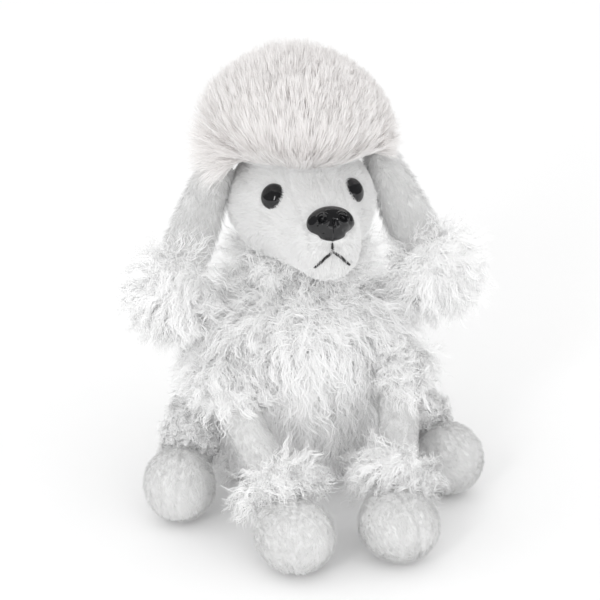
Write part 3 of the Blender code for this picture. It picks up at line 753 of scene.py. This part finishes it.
def noseShape(share, angle):
    look = noseLook
    low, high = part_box("nose")
    halfWide, halfHigh = ((high[k] - low[k]) / 2 / mm * look["proud"] for k in (0, 2))
    turn = share * math.radians(look["wrap"])
    x = halfWide * np.sin(turn) * np.cos(angle)
    y = halfHigh * np.sin(turn) * np.sin(angle)
    lower = smoothStep(look["narrowFrom"], look["narrowTo"], -y)
    x = x * (1 - look["narrow"] * lower + look["lobes"] * smoothStep(look["lobesFrom"], look["lobesTo"], -y))
    out = np.where(turn < math.pi / 2, look["bulge"], look["sink"]) * np.cos(turn) + 0 * angle
    for side in (-1, 1):
        gap = np.hypot(x - side * look["nostrilOut"], y - look["nostrilUp"])
        out = out - look["pit"] * np.exp(-((gap / look["nostrilRadius"]) ** 3))
        out = out + look["rim"] * np.exp(-(((gap - look["rimRadius"]) / look["rimWidth"]) ** 2))
        for line in ("wing", "fold"):
            start, end = (np.array((side, 1)) * look[line + place] for place in ("From", "To"))
            out = out - look[line] * ridge(x, y, start, end, look[line + "Width"])
    out = out - look["groove"] * ridge(x, y, look["grooveFrom"], look["grooveTo"], look["grooveWidth"])
    return np.stack([x, y, out], axis=-1) * mm


for side in ("left", "right"):
    place, normal = onHead(middleOf(f"eye_{side}"), eyeLook["spread"] * mm)
    eyeMesh = domeMesh(f"eye_{side}_dome", place, localAxes(normal), eyeShape, eyeLook)
    eye = addPiece(f"eye_{side}_dome", eyeMesh, blackLook)
    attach(eye, "head")
    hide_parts(f"eye_{side}")

place, normal = onHead(middleOf("nose"), noseLook["spread"] * mm)
place = place - downwards * noseLook["rise"] * mm
noseMesh = domeMesh("nose_moulded", place, localAxes(normal), noseShape, noseLook)
nose = addPiece("nose_moulded", noseMesh, blackLook)
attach(nose, "head")
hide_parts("nose")

mouthLook = {
    "radius": 0.46, "ply": 0.28, "pitch": 1.6, "sides": 7, "steps": 40, "proud": 0.35,
    "stem": 0.34, "bendOut": 0.45, "bendDown": 0.24,  # shares of the mouth's height and half width
    "endShare": 0.02, "endRoundness": 0.3, "startBefore": 20,
}


def threadPaths():
    low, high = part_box("mouth_stitches")
    centre, front = (low.x + high.x) / 2, low.y
    tall = high.z - low.z
    meet = (centre, high.z - mouthLook["stem"] * tall)
    runs = [[(centre, high.z), meet]]
    for side in (-1, 1):
        wide = (high.x - low.x) / 2
        bend = (centre + side * wide * mouthLook["bendOut"], meet[1] - tall * mouthLook["bendDown"])
        runs.append([meet, bend, (centre + side * wide, low.z)])
    for run in runs:
        run = np.array(run)
        share = np.linspace(0, len(run) - 1, mouthLook["steps"])
        line = []
        for x, z in zip(*(np.interp(share, range(len(run)), run[:, k]) for k in (0, 1))):
            start = Vector((x, front - mouthLook["startBefore"] * mm, z))
            spot, normal, face, gap = headTree.ray_cast(start, -Vector(forwards))
            line.append(np.array(spot + normal * mouthLook["proud"] * mm))
        yield np.array(line)


def threadMesh(name):
    points, faces = [], []
    sides = mouthLook["sides"]
    for line in threadPaths():
        tangent = unit(np.gradient(line, axis=0))
        right = unit(np.cross(tangent, forwards))
        out = np.cross(right, tangent)
        run = np.concatenate([[0], np.linalg.norm(np.diff(line, axis=0), axis=1).cumsum()])
        end = mouthLook["endShare"]
        ends = np.sin(np.pi * np.clip(run / run[-1], end, 1 - end)) ** mouthLook["endRoundness"]
        for ply in (0, math.pi):
            twist = math.tau * run / (mouthLook["pitch"] * mm) + ply
            core = line + mouthLook["ply"] * mm * (
                right * np.cos(twist)[:, None] + out * np.sin(twist)[:, None]
            )
            start = len(points)
            for i, centre in enumerate(core):
                for k in range(sides):
                    turn = math.tau * k / sides
                    ring = right[i] * math.cos(turn) + out[i] * math.sin(turn)
                    points.append(centre + ring * mouthLook["radius"] * mm * ends[i])
            for i in range(len(core) - 1):
                for k in range(sides):
                    a, b = start + i * sides + k, start + i * sides + (k + 1) % sides
                    faces.append((a, b, b + sides, a + sides))
            faces.append(tuple(start + k for k in reversed(range(sides))))
            faces.append(tuple(start + (len(core) - 1) * sides + k for k in range(sides)))
    mesh = meshFrom(name, points, faces)
    mesh.polygons.foreach_set("use_smooth", [True] * len(mesh.polygons))
    return mesh


mouth = addPiece("mouth_thread", threadMesh("mouth_thread"), threadLook)
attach(mouth, "head")
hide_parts("mouth_stitches")
print("face is fitted")

# ears

earLook = {"backing": napBackingLook, "voxel": 1.5, "meet": 1.0, "relax": 4, "shrink": -1.8, "cap": 1.2}
earTipLook = {"voxel": 2.5, "meet": 1.0, "relax": 4, "shrink": 3.0}
ears, earTips = {}, {}
for side in ("left", "right"):
    flap = softForm(f"ear_{side}_flap", [f"ear_{side}"], [], earLook)
    stuff(flap, earLook["cap"])
    refine(flap, 1)
    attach(flap, f"ear_{side}")
    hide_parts(f"ear_{side}")
    ears[side] = flap
    tip = softForm(f"ear_{side}_core", [f"ear_tip_{side}"], [], earTipLook)
    refine(tip, 1)
    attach(tip, f"ear_{side}")
    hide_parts(f"ear_tip_{side}")
    earTips[side] = tip
print("ears are made")

# legs

legLook = {"backing": napBackingLook, "voxel": 1.8, "meet": 1.3, "relax": 6, "shrink": 0.5, "cap": 1.2}
pawLook = {
    "backing": napBackingLook, "voxel": 2.0, "meet": 1.3, "relax": 8, "shrink": 0.3, "cap": 1.4,
    "seamFacing": (1, 0.25, 0.1), "seamDepth": 0.5, "seamWidth": 0.7, "sole": 0.5,
}
cuffLook = {"voxel": 2.0, "meet": 1.0, "relax": 4, "shrink": 2.0}
legs, paws, cuffs = {}, {}, {}
for side in ("left", "right"):
    for limb, paw in (("foreleg", "forepaw"), ("hindleg", "hindpaw")):
        key = f"{limb}_{side}"
        nodes = ([f"{limb}_skin_{side}"], [f"{limb}_filling_{side}"])
        leg = softForm(f"{key}_sleeve", *nodes, legLook)
        stuff(leg, legLook["cap"])
        refine(leg, 1)
        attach(leg, key)
        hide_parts(*nodes[0], *nodes[1])
        legs[key] = leg

        nodes = ([f"{paw}_skin_{side}"], [f"{paw}_pellets_{side}"])
        foot = softForm(f"{paw}_{side}_sock", *nodes, pawLook)
        stuff(foot, pawLook["cap"])
        refine(foot, 1)
        across, *rest = pawLook["seamFacing"]
        facing = (across if side == "left" else -across, *rest)
        sewPlane(foot, middleOf(nodes[0][0]), facing, pawLook["seamDepth"], pawLook["seamWidth"])
        flat = pointsOf(foot.data)
        flat[:, 2] = np.maximum(flat[:, 2], pawLook["sole"] * mm)
        setPoints(foot.data, flat)
        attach(foot, key)
        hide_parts(*nodes[0], *nodes[1])
        paws[key] = foot

        cuff = softForm(f"{key}_band", [f"{limb}_cuff_{side}"], [], cuffLook)
        refine(cuff, 1)
        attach(cuff, key)
        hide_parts(f"{limb}_cuff_{side}")
        cuffs[key] = cuff
print("legs are made")

# tail

tailLook = {"backing": napBackingLook, "voxel": 1.6, "meet": 1.2, "relax": 4, "shrink": 0.8}
stem = softForm("tail_stem", ["tail_skin"], ["tail_filling"], tailLook)
refine(stem, 1)
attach(stem, "tail")
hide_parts("tail_skin", "tail_filling")
pompon = softForm("tail_core", ["tail_pompon"], [], earTipLook)
refine(pompon, 1)
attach(pompon, "tail")
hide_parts("tail_pompon")
print("tail is made")


# pile on each piece

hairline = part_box("topknot_cap")[0].z
topknotLook = {  # middle, halfSize and below give the trimmed dome, root the place the hair fans out from
    "middle": (-4, -26, 155), "halfSize": (46, 41, 44.5), "below": 30, "roundness": 1.85,
    "root": (-2, -26, 132), "rise": 0.75, "ragged": 0.12, "shortest": 0.2, "longest": 1.7, "tries": 60,
    "edgeFall": 1.0, "edgeDepth": 6, "fall": 2.1, "fallDepth": 16, "fallAside": (16, 32),
    "fallBehind": (-30, -5), "parting": -5, "partingWidth": 25, "aside": 0.3, "upwards": 0.3, "overlap": 0.8,
}


def topknotAim(root):  # outwards and up, but down over the ears and at the edge
    look = topknotLook
    aside = smoothStep(*np.array(look["fallAside"]) * mm, np.abs(root[:, 0]))
    behind = smoothStep(*np.array(look["fallBehind"]) * mm, root[:, 1])
    atRim = 1 - smoothStep(hairline, hairline + look["fallDepth"] * mm, root[:, 2])
    atEdge = 1 - smoothStep(hairline, hairline + look["edgeDepth"] * mm, root[:, 2])
    fall = np.maximum(look["fall"] * np.minimum(aside + behind, 1) * atRim, look["edgeFall"] * atEdge)
    return unit(root - np.array(look["root"]) * mm) - downwards * (look["rise"] - fall)[:, None]


def topknotTrim(root, reach):  # the share of its reach at which each strand meets the trimmed dome
    look = topknotLook
    middle, half = np.array(look["middle"]) * mm, np.array(look["halfSize"]) * mm
    share = np.full(len(root), look["longest"])
    for step in np.linspace(look["longest"], look["shortest"], look["tries"]):
        end = root + reach * step
        away = np.abs(end - middle) / half
        away[:, 2] = np.where(end[:, 2] < middle[2], away[:, 2] * half[2] / (look["below"] * mm), away[:, 2])
        share[(away ** look["roundness"]).sum(1) > 1] = step
    return share


def topknotComb(root, facing):
    look = topknotLook
    aside = np.clip((root[:, :1] - look["parting"] * mm) / (look["partingWidth"] * mm), -1, 1)
    return aside * np.array((1.0, 0.0, 0.0)) * look["aside"] - downwards * look["upwards"]


def onTopknot(centres):
    return (centres[:, 2] > hairline - topknotLook["overlap"] * mm).astype(float)


faceLook = {
    "bareEye": 4.4, "bareNose": 7.0, "top": 1.0, "fromNose": 8, "down": 0.25,
    "cheekLonger": 0.8, "cheekAside": (14, 24), "cheekTop": (128, 140),
}


def onFace(centres):  # the nap leaves room for the eyes and the nose
    free = (centres[:, 2] < hairline + faceLook["top"] * mm).astype(float)
    for node, radius in (("eye_left", "bareEye"), ("eye_right", "bareEye"), ("nose", "bareNose")):
        free = free * (np.linalg.norm(centres - middleOf(node), axis=1) > faceLook[radius] * mm)
    return free


def faceComb(root, facing):
    back = root - (middleOf("nose") + forwards * faceLook["fromNose"] * mm)
    return unit(back) + downwards * faceLook["down"]


growPile(
    ["topknot_hair_left", "topknot_hair_right"], head, "head",
    {**silkyPile, "aim": topknotAim, "trim": topknotTrim, "ragged": topknotLook["ragged"]},
    topknotComb, onTopknot, parts=lambda root: (root[:, 0] < 0).astype(int),
)


def cheekReach(root):  # the nap is longer on the cheeks
    aside = smoothStep(*np.array(faceLook["cheekAside"]) * mm, np.abs(root[:, 0]))
    above = smoothStep(*np.array(faceLook["cheekTop"]) * mm, root[:, 2])
    return 1 + faceLook["cheekLonger"] * aside * (1 - above)


growPile(["face_nap"], head, "head", {**shortPile, "reach": cheekReach}, faceComb, onFace)


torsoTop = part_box("body_skin_left")[1].z
coatLook = {
    **curlyPile, "shoulder": (0.7, 0.95), "turnsUp": 1.1, "outwards": 0.3, "shoulderOutwards": 0.9,
    "shortest": 0.85, "bellyLonger": 0.35, "belly": (-10, -45), "lowest": 4,
}


def torsoComb(root, facing):
    outwards = unit(flatten(root - middleOf("body_filling"), downwards))
    shoulder = smoothStep(*coatLook["shoulder"], root[:, 2] / torsoTop)[:, None]
    down = 1 - coatLook["turnsUp"] * shoulder
    return downwards * down + outwards * (coatLook["outwards"] + coatLook["shoulderOutwards"] * shoulder)


def torsoReach(root):  # longest on the belly, shorter at the sides and on the shoulders
    front = smoothStep(*np.array(coatLook["belly"]) * mm, root[:, 1])
    return coatLook["shortest"] + coatLook["bellyLonger"] * front


def onTorso(centres):
    return (centres[:, 2] > coatLook["lowest"] * mm).astype(float)


def eighth(root):
    middle = middleOf("body_filling")
    return (root[:, 2] < middle[2]) * 4 + (root[:, 0] < 0) * 2 + (root[:, 1] > middle[1])


growPile(
    [
        f"coat_{height}_{side}_{end}"
        for height in ("upper", "lower") for side in ("left", "right") for end in ("front", "back")
    ], torso, "torso", {**coatLook, "reach": torsoReach},
    torsoComb, onTorso, keepOut=[head, *legs.values()], parts=eighth,
)


ruffLook = {**curlyPile, "length": 21, "lift": 0.5, "droop": 0.0, "upwards": 0.6, "seed": 23}


def neckComb(root, facing):  # the ruff stands up behind the cheeks
    return unit(flatten(root - middleOf("neck_skin"), downwards)) - downwards * ruffLook["upwards"]


growPile(["ruff"], neck, "neck", ruffLook, neckComb, keepOut=[head])

earNap = {**shortPile, "length": 3.0, "lift": 0.5, "seed": 41}
earCurls = {**curlyPile, "length": 16.5, "outwards": 0.6, "seed": 43}
legCoat = {**curlyPile, "seed": 57, "from": 16, "full": 8}  # millimetres below the top of the leg
cuffCurls = {**curlyPile, "lift": 0.5, "down": 0.5, "outwards": 0.8, "seed": 55}
coatLengths = {"foreleg": 16, "hindleg": 7}
cuffLengths = {"foreleg": 14, "hindleg": 6}
for side in ("left", "right"):
    flapEnd, tipEnd = middleOf(f"ear_{side}"), middleOf(f"ear_tip_{side}")
    hang = alongLine(flapEnd, tipEnd)
    growPile([f"ear_{side}_nap"], ears[side], f"ear_{side}", earNap, hang)

    def tipComb(root, facing, centre=tipEnd, hang=hang):
        return hang(root, facing) + unit(root - centre) * earCurls["outwards"]

    growPile(
        [f"ear_{side}_curls"], earTips[side], f"ear_{side}",
        {**earCurls, "seed": earCurls["seed"] + (side == "left")}, tipComb,
    )
    for limb, paw in (("foreleg", "forepaw"), ("hindleg", "hindpaw")):
        key = f"{limb}_{side}"
        knee = middleOf(f"{limb}_skin_{side}")
        ankle = middleOf(f"{limb}_cuff_{side}")
        toe = middleOf(f"{paw}_skin_{side}")
        down = alongLine(knee, ankle)
        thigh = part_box(f"{limb}_skin_{side}")[1].z
        growPile([f"{key}_nap"], legs[key], key, {**shortPile, "seed": 51}, down)

        def onThigh(centres, start=thigh - legCoat["from"] * mm, full=thigh - legCoat["full"] * mm):
            return smoothStep(start, full, centres[:, 2])

        growPile(
            [f"{key}_coat"], legs[key], key, {**legCoat, "length": coatLengths[limb]}, down, onThigh
        )
        growPile([f"{paw}_{side}_nap"], paws[key], key, {**shortPile, "seed": 53}, alongLine(ankle, toe))

        def cuffComb(root, facing, centre=ankle, down=down):
            return down(root, facing) * cuffCurls["down"] + unit(root - centre) * cuffCurls["outwards"]

        growPile(
            [f"{key}_curls"], cuffs[key], key,
            {**cuffCurls, "length": cuffLengths[limb], "seed": cuffCurls["seed"] + (side == "left")},
            cuffComb, keepOut=[paws[key]],
        )

tailEnd = middleOf("tail_pompon")
tailCurls = {**curlyPile, "length": 15, "down": 0.4, "seed": 63}
growPile(["tail_nap"], stem, "tail", {**shortPile, "seed": 61}, alongLine(middleOf("tail_skin"), tailEnd))
growPile(
    ["tail_curls"], pompon, "tail", tailCurls,
    lambda root, facing: unit(root - tailEnd) + downwards * tailCurls["down"],
)
triangles = sum(len(o.data.loop_triangles) for o in scene.objects if o.type == "MESH")
print(f"pile is grown, {triangles} triangles in all")

for name, node in frame["nodes"].items():
    if not node.hide_render:
        node.data.materials.clear()
        node.data.materials.append(washerLook)

reach, drop = studioLook["floorSize"], studioLook["floorDrop"] * mm
floorCorners = [(x * reach, y * reach, -drop) for x, y in ((-1, -1), (1, -1), (1, 1), (-1, 1))]
floorMesh = meshFrom("floor", floorCorners, [(0, 1, 2, 3)])
addPiece("floor", floorMesh, floorLook.block)
